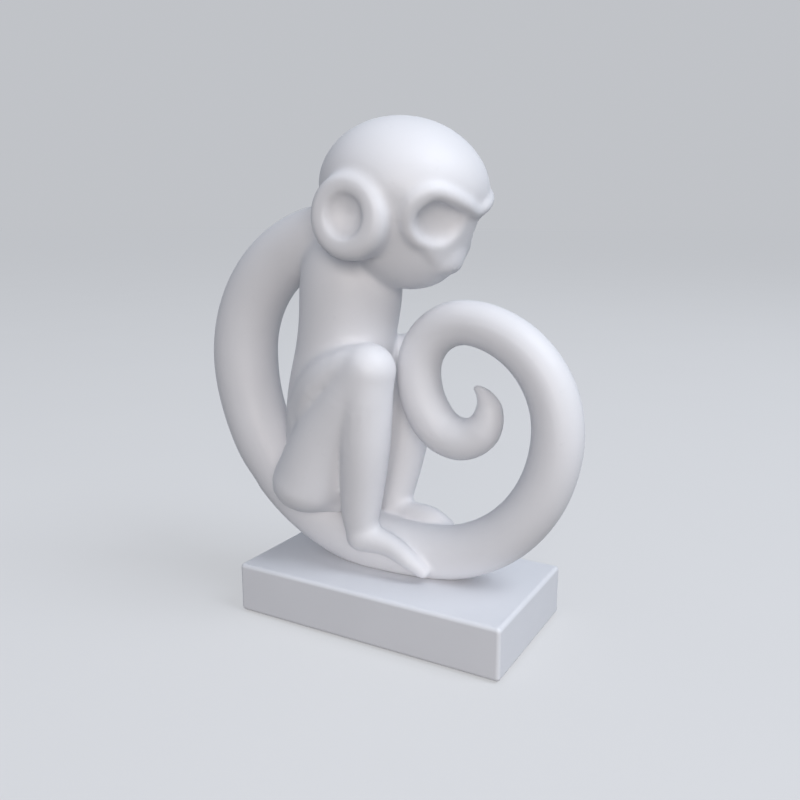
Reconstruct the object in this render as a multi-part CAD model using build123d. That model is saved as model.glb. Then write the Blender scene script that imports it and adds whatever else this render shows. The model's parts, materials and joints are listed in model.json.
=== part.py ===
"""A monkey that sits on its own looped tail, cast in pieces and glued up, on a hollow plinth.

Frame: the origin is the centre of the face it rests on, +X is the way the monkey looks,
+Y its left side and +Z up. All lengths are millimetres, all angles degrees.
"""

from build123d import *
from functools import cache
import math
import os

# Fits shared by all pieces
GLUE_GAP = 0.15  # between cast faces that are glued
PIN_GAP = 0.1  # all round a dowel, a screw or an insert
OVERRUN = 5.0  # how far a cutting shape runs past the face it opens

# Plinth
PLINTH_LENGTH = 110.0
PLINTH_DEPTH = 60.0
PLINTH_HEIGHT = 20.0  # from the table to the top face
PLINTH_ROUND = 1.5
PLINTH_WALL = 7.0
PLINTH_DECK = 6.0
BOSS_RADIUS = 4.5
BOSS_INSET = 2.5  # from the inner walls to a boss's axis

# Felt, base plate and ballast
FELT_THICKNESS = 1.5
FELT_PROUD = 0.5  # how far the felt stands out under the plinth's rim
PLATE_THICKNESS = 2.5
PLATE_MARGIN = 3.0  # rim of the plinth outside the plate
PLATE_GAP = 0.25
BALLAST_LENGTH = 64.0
BALLAST_DEPTH = 30.0
BALLAST_HEIGHT = 5.5

# Screws of the base plate, countersunk
PLATE_SCREW_RADIUS = 1.45
PLATE_SCREW_HEAD_RADIUS = 2.75
PLATE_SCREW_HEAD_HEIGHT = 1.6
PLATE_SCREW_LENGTH = 9.5

# Screws and inserts that hold the tail to the plinth
TAIL_SCREW_RADIUS = 2.0
TAIL_SCREW_HEAD_RADIUS = 3.75
TAIL_SCREW_HEAD_HEIGHT = 2.6
TAIL_SCREW_SPACING = 24.0
INSERT_RADIUS = 2.9
INSERT_LENGTH = 7.0

# Tail: a round tube bent in the plane Y = 0, in tangent arcs that leave the seat both ways
SEAT_FORWARD = 1.0  # lowest point of the tail, ahead of the plinth's centre
SEAT_FLAT = 3.7  # depth of the flat where the tail rests on the plinth
SEAT_BEND = 95.0
FRONT_BEND = 52.0
CREST_BEND = 36.5
INNER_BEND = 19.0
KNEE_BEND = 29.0
CURL_BEND = 13.5
HOOK_BEND = 11.0
TIP_BEND = 9.0
REAR_BEND = 69.5
ARCH_BEND = 49.5

# Radius of the tail's tube at the seat and at the far end of each bend
SEAT_TUBE = 11.0
TOE_TUBE = 10.2
FRONT_TUBE = 9.1
CREST_TUBE = 8.0
INNER_TUBE = 8.2
KNEE_TUBE = 8.3
CURL_TUBE = 7.9
HOOK_TUBE = 6.7
HOOK_END_TUBE = 4.8
TIP_TUBE = 1.0
HEEL_TUBE = 11.6
REAR_TUBE = 13.1
ARCH_TUBE = 12.0

# Bend radius, sweep, and tube radius at the bend's far end
FRONT_BENDS = (
    (SEAT_BEND, 12, TOE_TUBE),
    (FRONT_BEND, 78, FRONT_TUBE),
    (CREST_BEND, 84, CREST_TUBE),
    (INNER_BEND, 96, INNER_TUBE),
    (KNEE_BEND, 40, KNEE_TUBE),
    (CURL_BEND, 50, CURL_TUBE),
    (HOOK_BEND, 55, HOOK_TUBE),
    (HOOK_BEND, 45, HOOK_END_TUBE),
    (TIP_BEND, 60, TIP_TUBE),
)
REAR_BENDS = (
    (SEAT_BEND, 10, HEEL_TUBE),
    (REAR_BEND, 80, REAR_TUBE),
    (ARCH_BEND, 85, ARCH_TUBE),
)
BEND_STEP = 12  # sweep between neighbouring sections of the tube

# Where the tail is cast in lengths, along the tail from the seat
ROOT_JOINT = 62.0  # behind the seat
CURL_JOINT_MARGIN = 2.0  # from the front insert to the dowel of the joint ahead of it

# Torso: round sections between the hips, which straddle the tail, and the shoulders
HIP_SEAT = 33.0  # along the tail, behind the seat
HIP_DROP = 5.0  # lowest section above the tail's centre line
TORSO_RADIUS = 20.0
SHOULDER_FORWARD = 7.0  # neck ahead of the tail's upper end
SHOULDER_RISE = 3.5  # top of the shoulders above the tail's upper end
# Height, forward lean and radius of each section
TORSO_SHARES = (
    (0.00, 0.00, 0.80),
    (0.11, 0.00, 0.95),
    (0.27, 0.28, 1.00),
    (0.54, 0.62, 0.97),
    (0.77, 0.98, 0.97),
    (0.87, 1.00, 0.92),
    (0.94, 0.97, 0.75),
    (1.00, 0.95, 0.45),
)

# Head: round sections from chin to crown, placed from the tail's upper end
HEAD_FORWARD = 28.8  # head's centre ahead of the tail's upper end
HEAD_RISE = 14.5
HEAD_RADIUS = 29.6
HEAD_HEIGHT = 60.7
CHIN_DROP = 34.2  # below the head's centre
CHIN_FORWARD = 3.0  # ahead of the crown
# Height and radius of each section
HEAD_SHARES = (
    (0.000, 0.070),
    (0.020, 0.257),
    (0.069, 0.446),
    (0.152, 0.605),
    (0.243, 0.709),
    (0.350, 0.845),
    (0.465, 0.959),
    (0.564, 1.000),
    (0.696, 0.956),
    (0.812, 0.823),
    (0.894, 0.652),
    (0.952, 0.456),
    (0.985, 0.260),
    (1.000, 0.070),
)

# Eyes: a raised brow ring round a shallow bowl, placed from the head's centre
EYE_AHEAD = 21.8
EYE_SPREAD = 11.2
EYE_DROP = 9.6
EYE_TURN = 29  # outwards from straight ahead
EYE_TILT = 24  # downwards
BROW_RADIUS = 10.0
BROW_TUBE = 3.0
BOWL_DEPTH = 3.0  # below the ring's middle

# Ears: dished buttons that sit in flat seats on the head
EAR_BACK = 4.0  # behind the head's centre
EAR_DROP = 6.8
EAR_SEAT = 21.0  # from the middle plane to the seat
EAR_HEIGHT = 11.2
EAR_RADIUS = 16.2
EAR_WIDTH_SHARE = 0.9  # across, of its height
EAR_ROUND = 4.4
DISH_RADIUS = 7.8
DISH_DEPTH = 5.5
DISH_ROUND = 1.6

# Legs: folded, with the thigh along the torso and the shin down to the tail
KNEE_AHEAD = 28.0  # ahead of the hip seat
KNEE_RISE = 66.0  # above the hip seat
KNEE_SPREAD = 17.0
KNEE_RADIUS = 10.2
HIP_BEHIND = 1.0  # hip's centre behind the hip seat
HIP_RISE = 19.0
HIP_SPREAD = 12.5
HIP_RADIUS = 15.0
THIGH_RADIUS = 12.5
THIGH_BULGE = 3.0  # middle of the thigh behind the straight line from hip to knee
THIGH_SHARE = 0.46
SHIN_TOP_RADIUS = 9.3
SHIN_RADIUS = 9.2
SHIN_SHARE = 0.5
SHIN_BULGE = 1.0
ANKLE_BEHIND = 10.5  # behind the tail's seat
ANKLE_RISE = 14.7  # above the tail's lowest centre
ANKLE_SPREAD = 13.0
ANKLE_RADIUS = 7.2

# Feet: along the tail, wrapped down its sides
HEEL_SEAT = 10.0  # along the tail, behind the seat
RIGHT_FOOT_LENGTH = 25.5
LEFT_FOOT_LENGTH = 24.0
FOOT_RADIUS = 6.0
FOOT_SINK_SHARE = 0.35  # of the foot's own radius, into the tail's surface
# Place along the foot, radius, and angle round the tail from its top
RIGHT_FOOT_SHARES = ((0.0, 1.0, 62), (0.42, 0.74, 64), (0.76, 0.60, 82), (1.0, 0.42, 108))
LEFT_FOOT_SHARES = ((0.0, 1.0, 58), (0.40, 0.88, 46), (0.74, 0.80, 45), (1.0, 0.58, 58))

# Rounded end of a limb: distance beyond its last section, and radius there
END_SHARES = ((0.42, 0.908), (0.74, 0.673), (0.93, 0.368), (0.99, 0.141))
LIMB_STEPS = 5  # sections from one station of a limb to the next

# Dowels
DOWEL_RADIUS = 2.0
DOWEL_LENGTH = 18.0
NECK_REACH = 28.0  # from the head's centre to the middle of its dowel
SHOULDER_DEPTH = 12.5  # from the tail's upper end back to the middle of its dowel
SMALL_DOWEL_RADIUS = 1.25
SMALL_DOWEL_LENGTH = 9.0
HIP_DOWEL_RISE = 25.0  # above the hip seat

# Heights that follow from the sizes above
RIM_Z = FELT_PROUD
PLATE_Z = FELT_THICKNESS
PLATE_TOP_Z = PLATE_Z + PLATE_THICKNESS
CEILING_Z = PLINTH_HEIGHT - PLINTH_DECK
SEAT_Z = PLINTH_HEIGHT + SEAT_TUBE - SEAT_FLAT
CURL_JOINT = TAIL_SCREW_SPACING / 2 + INSERT_RADIUS + CURL_JOINT_MARGIN + DOWEL_LENGTH / 2
STANDING = (Align.CENTER, Align.CENTER, Align.MIN)
HANGING = (Align.CENTER, Align.CENTER, Align.MAX)
SIDES = {"right": -1, "left": 1}


def tail_station(travel):
    """Centre, heading and tube radius at a distance ahead of the tail's seat (behind it if negative)."""
    side = 1 if travel >= 0 else -1
    x, z, heading, tube = 0.0, 0.0, 0.0, SEAT_TUBE
    left = abs(travel)
    for bend, sweep, end_tube in FRONT_BENDS if side > 0 else REAR_BENDS:
        turn = math.radians(sweep)
        share = min(left / (bend * turn), 1)
        reached = heading + turn * share
        x += bend * (math.sin(reached) - math.sin(heading))
        z += bend * (math.cos(heading) - math.cos(reached))
        tube += (end_tube - tube) * share
        heading = reached
        left -= bend * turn * share
        if share < 1:
            break
    centre = Vector(SEAT_FORWARD + side * x, 0, SEAT_Z + z)
    return centre, Vector(math.cos(heading), 0, side * math.sin(heading)), tube


def bend_travels(bends):
    """Distances from the seat at which the tube gets a section."""
    travels = []
    start = 0.0
    for bend, sweep, _ in bends:
        length = bend * math.radians(sweep)
        count = max(round(sweep / BEND_STEP), 1)
        travels += [start + length * index / count for index in range(1, count + 1)]
        start += length
    return travels


FRONT_TRAVELS = bend_travels(FRONT_BENDS)
REAR_TRAVELS = bend_travels(REAR_BENDS)
TIP_TRAVEL = FRONT_TRAVELS[-1]
ROOT_TRAVEL = -REAR_TRAVELS[-1]
SHOULDER, _, _ = tail_station(ROOT_TRAVEL)
HIP, _, _ = tail_station(-HIP_SEAT)


def ring(centre, direction, radius):
    """A round section square to a direction, in quarter arcs of which the first starts towards +Y."""
    quarters = [CenterArc((0, 0), radius, start, 90) for start in (0, 90, 180, 270)]
    return Plane(origin=centre, x_dir=(0, 1, 0), z_dir=direction) * make_face(quarters)


@cache
def tail_form(start, end, grow=0.0):
    """The tail's tube between two distances from the seat."""
    inner = [-travel for travel in REAR_TRAVELS] + [0.0] + FRONT_TRAVELS
    travels = [start] + sorted(travel for travel in inner if start < travel < end) + [end]
    sections = []
    for travel in travels:
        centre, heading, tube = tail_station(travel)
        sections.append(ring(centre, heading, tube + grow))
    return loft(sections)


def smoothed(stations):
    """Centres and radii on a smooth line through a limb's stations, in even steps."""
    padded = [stations[0], *stations, stations[-1]]
    rows = []
    for before, start, end, after in zip(padded, padded[1:], padded[2:], padded[3:]):
        for step in range(LIMB_STEPS):
            share = step / LIMB_STEPS
            rows.append(tuple(between(*values, share) for values in zip(before, start, end, after)))
    return rows + [stations[-1]]


def between(before, start, end, after, share):
    """The value at a share of the way from start to end, smooth with its neighbours."""
    slope_in = (end - before) / 2
    slope_out = (after - start) / 2
    rest = end - start - slope_in
    turn = slope_in + slope_out - (end - start) * 2
    return start + slope_in * share + (rest - turn) * share**2 + turn * share**3


def limb_form(stations, grow=0.0):
    """A limb: a loft through round sections along a smooth line of centres, with rounded ends."""
    rows = smoothed([(centre, radius + grow) for centre, radius in stations])
    centres = [centre for centre, _ in rows]
    radii = [radius for _, radius in rows]
    first = (centres[0] - centres[1]).normalized()
    last = (centres[-1] - centres[-2]).normalized()
    sections = []
    for reach, width in reversed(END_SHARES):
        sections.append(ring(centres[0] + first * (radii[0] * reach), first * -1, radii[0] * width))
    for index, (centre, radius) in enumerate(rows):
        before = centres[max(index - 1, 0)]
        after = centres[min(index + 1, len(centres) - 1)]
        sections.append(ring(centre, after - before, radius))
    for reach, width in END_SHARES:
        sections.append(ring(centres[-1] + last * (radii[-1] * reach), last, radii[-1] * width))
    return loft(sections)


def ellipsoid(centre, half_sizes, grow=0.0):
    """A round form with three half sizes."""
    return Pos(*centre) * scale(Sphere(1), by=tuple(size + grow for size in half_sizes))


def pin(centre, direction, radius, length, grow=0.0):
    """A plain dowel, centred on a point."""
    return Plane(origin=centre, z_dir=direction) * Cylinder(radius + grow, length + 2 * grow)


def largest(shape):
    """The main solid of a cut shape, without the crumbs a cut can leave."""
    return max(shape.solids(), key=lambda solid: solid.volume)


def torso_station(share):
    """Centre and radius of the torso at a share of its height."""
    bottom = HIP.Z + HIP_DROP
    height = SHOULDER.Z + SHOULDER_RISE - bottom
    lean = SHOULDER.X + SHOULDER_FORWARD - HIP.X
    rows = list(zip(TORSO_SHARES, TORSO_SHARES[1:]))
    low, high = next((row for row in rows if share <= row[1][0]), rows[-1])
    part = (share - low[0]) / (high[0] - low[0])
    lean_share = low[1] + (high[1] - low[1]) * part
    radius_share = low[2] + (high[2] - low[2]) * part
    return Vector(HIP.X + lean * lean_share, 0, bottom + height * share), TORSO_RADIUS * radius_share


@cache
def torso_form(grow=0.0):
    sections = []
    for height_share, _, _ in TORSO_SHARES:
        centre, radius = torso_station(height_share)
        sections.append(ring(centre, (0, 0, 1), radius + grow))
    return loft(sections)


def head_centre():
    return SHOULDER + Vector(HEAD_FORWARD, 0, HEAD_RISE)


@cache
def head_form(grow=0.0):
    sections = []
    for height_share, radius_share in HEAD_SHARES:
        place = Vector(CHIN_FORWARD * (1 - height_share), 0, HEAD_HEIGHT * height_share - CHIN_DROP)
        sections.append(ring(head_centre() + place, (0, 0, 1), HEAD_RADIUS * radius_share + grow))
    return loft(sections)


def eye_plane(side):
    """The middle of an eye's brow ring, turned outwards and tilted down."""
    turn = math.radians(EYE_TURN)
    tilt = math.radians(EYE_TILT)
    look = (math.cos(turn) * math.cos(tilt), side * math.sin(turn) * math.cos(tilt), -math.sin(tilt))
    return Plane(origin=head_centre() + Vector(EYE_AHEAD, side * EYE_SPREAD, -EYE_DROP), z_dir=look)


def eye_bowl():
    """The space inside a brow ring, down to a rounded floor."""
    radius = (BROW_RADIUS**2 + BOWL_DEPTH**2) / (2 * BOWL_DEPTH)
    ball = Pos(0, 0, radius - BOWL_DEPTH) * Rot(90, 0, 0) * Sphere(radius)
    return ball & Cylinder(BROW_RADIUS, 2 * BROW_RADIUS)


def ear_plane(side):
    """The seat of an ear, facing straight out to its side."""
    seat = head_centre() + Vector(-EAR_BACK, side * EAR_SEAT, -EAR_DROP)
    return Plane(origin=seat, x_dir=(1, 0, 0), z_dir=(0, side, 0))


def leg_points(side):
    """Centres of hip, mid thigh, knee, mid shin and ankle."""
    hip = HIP + Vector(-HIP_BEHIND, side * HIP_SPREAD, HIP_RISE)
    knee = HIP + Vector(KNEE_AHEAD, side * KNEE_SPREAD, KNEE_RISE)
    ankle = Vector(SEAT_FORWARD - ANKLE_BEHIND, side * ANKLE_SPREAD, SEAT_Z + ANKLE_RISE)
    thigh = hip + (knee - hip) * THIGH_SHARE + Vector(-THIGH_BULGE, 0, 0)
    shin = knee + (ankle - knee) * SHIN_SHARE + Vector(SHIN_BULGE, side * SHIN_BULGE, 0)
    return hip, thigh, knee, shin, ankle


@cache
def leg_form(side, grow=0.0):
    hip, thigh, knee, shin, ankle = leg_points(side)
    upper = ((hip, HIP_RADIUS), (thigh, THIGH_RADIUS), (knee, KNEE_RADIUS))
    lower = ((knee, SHIN_TOP_RADIUS), (shin, SHIN_RADIUS), (ankle, ANKLE_RADIUS))
    return limb_form(upper, grow) + limb_form(lower, grow)


def foot_form(side, length, shares):
    stations = []
    for along_share, radius_share, wrap in shares:
        centre, _, tube = tail_station(-HEEL_SEAT + length * along_share)
        radius = FOOT_RADIUS * radius_share
        away = tube + radius * (1 - FOOT_SINK_SHARE)
        angle = math.radians(wrap)
        stations.append((centre + Vector(0, side * away * math.sin(angle), away * math.cos(angle)), radius))
    return limb_form(stations)


def root_dowel(grow=0.0):
    centre, heading, _ = tail_station(-ROOT_JOINT)
    return pin(centre, heading, DOWEL_RADIUS, DOWEL_LENGTH, grow)


def curl_dowel(grow=0.0):
    centre, heading, _ = tail_station(CURL_JOINT)
    return pin(centre, heading, DOWEL_RADIUS, DOWEL_LENGTH, grow)


def shoulder_dowel(grow=0.0):
    centre, heading, _ = tail_station(ROOT_TRAVEL + SHOULDER_DEPTH)
    return pin(centre, heading, DOWEL_RADIUS, DOWEL_LENGTH, grow)


def neck_dowel(grow=0.0):
    """From the torso into the head, centred where their faces meet."""
    neck = Vector(SHOULDER.X + SHOULDER_FORWARD, 0, SHOULDER.Z - HEAD_RISE)
    centre = head_centre()
    way = (centre - neck).normalized()
    return pin(centre - way * NECK_REACH, way, DOWEL_RADIUS, DOWEL_LENGTH, grow)


def hip_dowel(side, grow=0.0):
    bottom = HIP.Z + HIP_DROP
    share = (HIP.Z + HIP_DOWEL_RISE - bottom) / (SHOULDER.Z + SHOULDER_RISE - bottom)
    centre, radius = torso_station(share)
    seat = centre + Vector(0, side * radius, 0)
    return pin(seat, (0, 1, 0), SMALL_DOWEL_RADIUS, SMALL_DOWEL_LENGTH, grow)


def ankle_dowel(side, grow=0.0):
    _, _, _, shin, ankle = leg_points(side)
    way = (ankle - shin).normalized()
    return pin(ankle + way * ANKLE_RADIUS, way, SMALL_DOWEL_RADIUS, SMALL_DOWEL_LENGTH, grow)


def ear_dowel(side, grow=0.0):
    return pin(ear_plane(side).origin, (0, 1, 0), SMALL_DOWEL_RADIUS, SMALL_DOWEL_LENGTH, grow)


def tail_screw_places():
    return [Pos(SEAT_FORWARD + half * TAIL_SCREW_SPACING / 2, 0, 0) for half in (-1, 1)]


def plate_screw_places():
    across = PLINTH_LENGTH / 2 - PLINTH_WALL - BOSS_INSET
    deep = PLINTH_DEPTH / 2 - PLINTH_WALL - BOSS_INSET
    return [Pos(end * across, side * deep, 0) for end in (-1, 1) for side in (-1, 1)]


def plate_screw(grow=0.0):
    """A countersunk screw, its head flush with the plate's underside."""
    neck = PLATE_SCREW_RADIUS + grow
    rim = PLATE_SCREW_HEAD_RADIUS + grow
    shank = Cylinder(neck, PLATE_SCREW_LENGTH + grow, align=STANDING)
    head = Cone(rim, neck, PLATE_SCREW_HEAD_HEIGHT, align=STANDING)
    return Pos(0, 0, PLATE_Z) * (shank + head)


def tail_screw(grow=0.0):
    """A pan-head screw, up from the plinth's ceiling into its insert."""
    length = PLINTH_DECK + INSERT_LENGTH
    shank = Pos(0, 0, CEILING_Z) * Cylinder(TAIL_SCREW_RADIUS + grow, length + grow, align=STANDING)
    head = Cylinder(TAIL_SCREW_HEAD_RADIUS, TAIL_SCREW_HEAD_HEIGHT, align=HANGING)
    return shank + Pos(0, 0, CEILING_Z) * head


def tail_insert():
    body = Pos(0, 0, PLINTH_HEIGHT) * Cylinder(INSERT_RADIUS, INSERT_LENGTH, align=STANDING)
    return body - tail_screw(PIN_GAP)


def slab(length, depth, bottom, top):
    return Pos(0, 0, bottom) * Box(length, depth, top - bottom, align=STANDING)


def plinth():
    block = fillet(slab(PLINTH_LENGTH, PLINTH_DEPTH, RIM_Z, PLINTH_HEIGHT).edges(), PLINTH_ROUND)
    room_length = PLINTH_LENGTH - 2 * PLINTH_WALL
    room_depth = PLINTH_DEPTH - 2 * PLINTH_WALL
    block -= slab(room_length, room_depth, RIM_Z - OVERRUN, CEILING_Z)
    for place in plate_screw_places():
        boss = Cylinder(BOSS_RADIUS, CEILING_Z - PLATE_TOP_Z, align=STANDING)
        block += place * Pos(0, 0, PLATE_TOP_Z) * boss
    rebate_length = PLINTH_LENGTH - 2 * PLATE_MARGIN
    rebate_depth = PLINTH_DEPTH - 2 * PLATE_MARGIN
    block -= slab(rebate_length, rebate_depth, RIM_Z - OVERRUN, PLATE_TOP_Z)
    for place in plate_screw_places():
        block -= place * plate_screw(PIN_GAP)
    for place in tail_screw_places():
        block -= place * tail_screw(PIN_GAP)
    return largest(block)


def base_plate():
    length = PLINTH_LENGTH - 2 * (PLATE_MARGIN + PLATE_GAP)
    depth = PLINTH_DEPTH - 2 * (PLATE_MARGIN + PLATE_GAP)
    plate = slab(length, depth, PLATE_Z, PLATE_TOP_Z)
    for place in plate_screw_places():
        plate -= place * plate_screw(PIN_GAP)
    return plate


def felt_pad():
    length = PLINTH_LENGTH - 2 * (PLATE_MARGIN + PLATE_GAP)
    depth = PLINTH_DEPTH - 2 * (PLATE_MARGIN + PLATE_GAP)
    return slab(length, depth, 0, PLATE_Z)


def ballast():
    return slab(BALLAST_LENGTH, BALLAST_DEPTH, PLATE_TOP_Z, PLATE_TOP_Z + BALLAST_HEIGHT)


def tail_saddle():
    saddle = tail_form(-ROOT_JOINT, CURL_JOINT)
    floor = slab(PLINTH_LENGTH, PLINTH_DEPTH, 0, PLINTH_HEIGHT)
    saddle = saddle - floor - root_dowel(PIN_GAP) - curl_dowel(PIN_GAP)
    for place in tail_screw_places():
        bore = Cylinder(INSERT_RADIUS + PIN_GAP, INSERT_LENGTH + PIN_GAP, align=STANDING)
        saddle -= place * Pos(0, 0, PLINTH_HEIGHT) * bore
    for side in SIDES.values():
        saddle -= ankle_dowel(side, PIN_GAP)
    return largest(saddle)


def tail_curl():
    return largest(tail_form(CURL_JOINT + GLUE_GAP, TIP_TRAVEL) - curl_dowel(PIN_GAP))


def tail_root():
    root = tail_form(ROOT_TRAVEL, -ROOT_JOINT - GLUE_GAP) - root_dowel(PIN_GAP)
    root = root - torso_form(GLUE_GAP) - head_form(GLUE_GAP)
    return largest(root - shoulder_dowel(PIN_GAP))


def torso():
    column = torso_form() - tail_form(-ROOT_JOINT, CURL_JOINT, GLUE_GAP)
    column = column - head_form(GLUE_GAP) - shoulder_dowel(PIN_GAP) - neck_dowel(PIN_GAP)
    for side in SIDES.values():
        column -= hip_dowel(side, PIN_GAP)
    return largest(column)


def leg(side):
    limb = leg_form(side) - torso_form(GLUE_GAP) - tail_form(ROOT_TRAVEL, TIP_TRAVEL, GLUE_GAP)
    return largest(limb - hip_dowel(side, PIN_GAP) - ankle_dowel(side, PIN_GAP))


def foot(side, length, shares):
    floor = slab(PLINTH_LENGTH, PLINTH_DEPTH, 0, PLINTH_HEIGHT + GLUE_GAP)
    form = foot_form(side, length, shares) - tail_form(-ROOT_JOINT, TIP_TRAVEL, GLUE_GAP)
    return largest(form - leg_form(side, GLUE_GAP) - floor - ankle_dowel(side, PIN_GAP))


def head():
    form = head_form()
    for side in SIDES.values():
        form = form - eye_plane(side) * eye_bowl() + eye_plane(side) * Torus(BROW_RADIUS, BROW_TUBE)
        seat = Ellipse(EAR_RADIUS * EAR_WIDTH_SHARE + GLUE_GAP, EAR_RADIUS + GLUE_GAP)
        form -= ear_plane(side) * extrude(seat, EAR_HEIGHT + OVERRUN)
        form -= ear_dowel(side, PIN_GAP)
    return largest(form - neck_dowel(PIN_GAP))


def ear(side):
    """A button with a rounded rim and a dished middle, turned about its own axis."""
    shoulder = EAR_HEIGHT - EAR_ROUND
    lip = EAR_HEIGHT - DISH_ROUND
    floor = EAR_HEIGHT - DISH_DEPTH
    outline = [
        Line((0, floor), (0, 0)),
        Line((0, 0), (EAR_RADIUS, 0)),
        Line((EAR_RADIUS, 0), (EAR_RADIUS, shoulder)),
        CenterArc((EAR_RADIUS - EAR_ROUND, shoulder), EAR_ROUND, 0, 90),
        Line((EAR_RADIUS - EAR_ROUND, EAR_HEIGHT), (DISH_RADIUS + DISH_ROUND, EAR_HEIGHT)),
        CenterArc((DISH_RADIUS + DISH_ROUND, lip), DISH_ROUND, 90, 90),
        TangentArc((0, floor), (DISH_RADIUS, lip), tangent=(1, 0)),
    ]
    button = scale(revolve(Plane.XZ * make_face(outline), Axis.Z), by=(EAR_WIDTH_SHARE, 1, 1))
    return largest(ear_plane(side) * button - ear_dowel(side, PIN_GAP))


def group(solids):
    return Compound(children=list(solids))


PARTS = {
    "plinth": plinth(),
    "base_plate": base_plate(),
    "base_plate_screws": group(place * plate_screw() for place in plate_screw_places()),
    "ballast": ballast(),
    "felt_pad": felt_pad(),
    "tail_screws": group(place * tail_screw() for place in tail_screw_places()),
    "tail_inserts": group(place * tail_insert() for place in tail_screw_places()),
    "tail_saddle": tail_saddle(),
    "tail_curl": tail_curl(),
    "tail_root": tail_root(),
    "torso": torso(),
    "head": head(),
    "root_dowel": root_dowel(),
    "curl_dowel": curl_dowel(),
    "shoulder_dowel": shoulder_dowel(),
    "neck_dowel": neck_dowel(),
    "hip_dowels": group(hip_dowel(side) for side in SIDES.values()),
    "ankle_dowels": group(ankle_dowel(side) for side in SIDES.values()),
    "ear_dowels": group(ear_dowel(side) for side in SIDES.values()),
    "right_foot": foot(SIDES["right"], RIGHT_FOOT_LENGTH, RIGHT_FOOT_SHARES),
    "left_foot": foot(SIDES["left"], LEFT_FOOT_LENGTH, LEFT_FOOT_SHARES),
}
for name, side in SIDES.items():
    PARTS[f"{name}_leg"] = leg(side)
    PARTS[f"{name}_ear"] = ear(side)

os.makedirs("parts", exist_ok=True)
for node, shape in PARTS.items():
    export_step(shape, f"parts/{node}.step")
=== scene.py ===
"""Dresses the monkey ornament: fuses clay into one soft skin, cuts it into the cast pieces and lights it."""

import json
import math

import bpy
import numpy as np
from mathutils import Matrix, Vector
from mathutils.bvhtree import BVHTree

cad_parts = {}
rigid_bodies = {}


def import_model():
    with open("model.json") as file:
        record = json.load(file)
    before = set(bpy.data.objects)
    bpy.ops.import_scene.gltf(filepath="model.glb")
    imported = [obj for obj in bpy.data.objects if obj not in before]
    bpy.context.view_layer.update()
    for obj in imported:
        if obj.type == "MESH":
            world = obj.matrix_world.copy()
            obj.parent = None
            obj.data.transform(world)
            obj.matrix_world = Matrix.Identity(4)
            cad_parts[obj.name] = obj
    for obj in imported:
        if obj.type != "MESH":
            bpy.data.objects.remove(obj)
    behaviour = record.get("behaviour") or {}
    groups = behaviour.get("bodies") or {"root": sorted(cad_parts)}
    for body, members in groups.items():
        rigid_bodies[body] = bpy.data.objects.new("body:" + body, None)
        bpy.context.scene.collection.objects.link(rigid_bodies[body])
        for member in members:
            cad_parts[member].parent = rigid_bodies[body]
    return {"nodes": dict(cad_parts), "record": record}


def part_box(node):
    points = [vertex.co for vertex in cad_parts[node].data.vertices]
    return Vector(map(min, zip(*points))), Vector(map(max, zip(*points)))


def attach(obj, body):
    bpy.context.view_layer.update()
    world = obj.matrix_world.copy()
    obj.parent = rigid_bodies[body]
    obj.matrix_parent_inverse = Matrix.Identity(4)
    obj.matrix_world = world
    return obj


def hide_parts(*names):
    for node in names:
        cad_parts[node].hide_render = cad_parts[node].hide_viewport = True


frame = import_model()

bl_info = {
    "name": "Monkey Ornament",
    "version": (1, 0, 0),
    "blender": (4, 5, 0),
    "location": "3D View > Sidebar > Monkey",
    "description": "Models a white cast monkey that sits on its looped tail, over its packed frame",
    "category": "Object",
}

NODES = frame["nodes"]
SLOTS = {row["node"]: row["material_slot"] for row in frame["record"]["subparts"]}
COLOURS = {row["slot"]: row["base_color"] for row in frame["record"]["materials"]}
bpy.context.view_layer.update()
BODY = "root"
MM = 0.001
SIDES = {"right": -1, "left": 1}
TAIL = ("tail_saddle", "tail_curl", "tail_root")
DOWELS = (
    "root_dowel", "curl_dowel", "shoulder_dowel", "neck_dowel", "hip_dowels", "ankle_dowels", "ear_dowels")
CLAY = "clay_"
CELL = "cell_"
SKIN = "skin"

# Vertices this close are merged
MERGE = 0.001 * MM
# A rub reaches beyond its own reach by these shares, the widest first
RUB_SHARES = (1.6, 1.3, 1)
RUB_FACTOR = 0.5
# The seat ends this far ahead
SEAT_END = -15 * MM
# The part of the skin that is polished as the face, from the head's centre
FACE_AHEAD = 9 * MM
FACE_LOW = -32 * MM
FACE_HIGH = 8 * MM
# The plate that cuts the mask starts this far ahead, and is this thick
PLATE_START = 10 * MM
PLATE_THICK = 30 * MM
# Edges sharper than this stay sharp on a cast piece and on the felt
CAST_CREASE = math.radians(50)
FELT_CREASE = math.radians(60)
# A cut piece takes its shading from the uncut skin where it lies this close
SAME_SURFACE = 0.03 * MM
FELT_GRAIN = 0.5 * MM
# The lamps look at this place
LAMP_AIM = (0, 0, 0.09)
# The floor as it is looked at: share and strength of its own glow; and its shade as a source of light
FLOOR_GLOW_SHARE = 0.6
FLOOR_GLOW = 1.05
FLOOR_DIM = 0.2

# The head is turned on an upright axis: radius and height of its outline, from the chin to the crown
HEAD_OUTLINE = (
    (0, -33.8), (7.6, -32.7), (13.3, -29.8), (17.8, -25), (20.6, -19.4), (24.5, -13), (28.4, -6),
    (30.7, 0), (29.8, 8), (25.6, 15.1), (20.4, 20.1), (14.4, 23.6), (8.3, 25.7), (0, 26.7))

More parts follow.
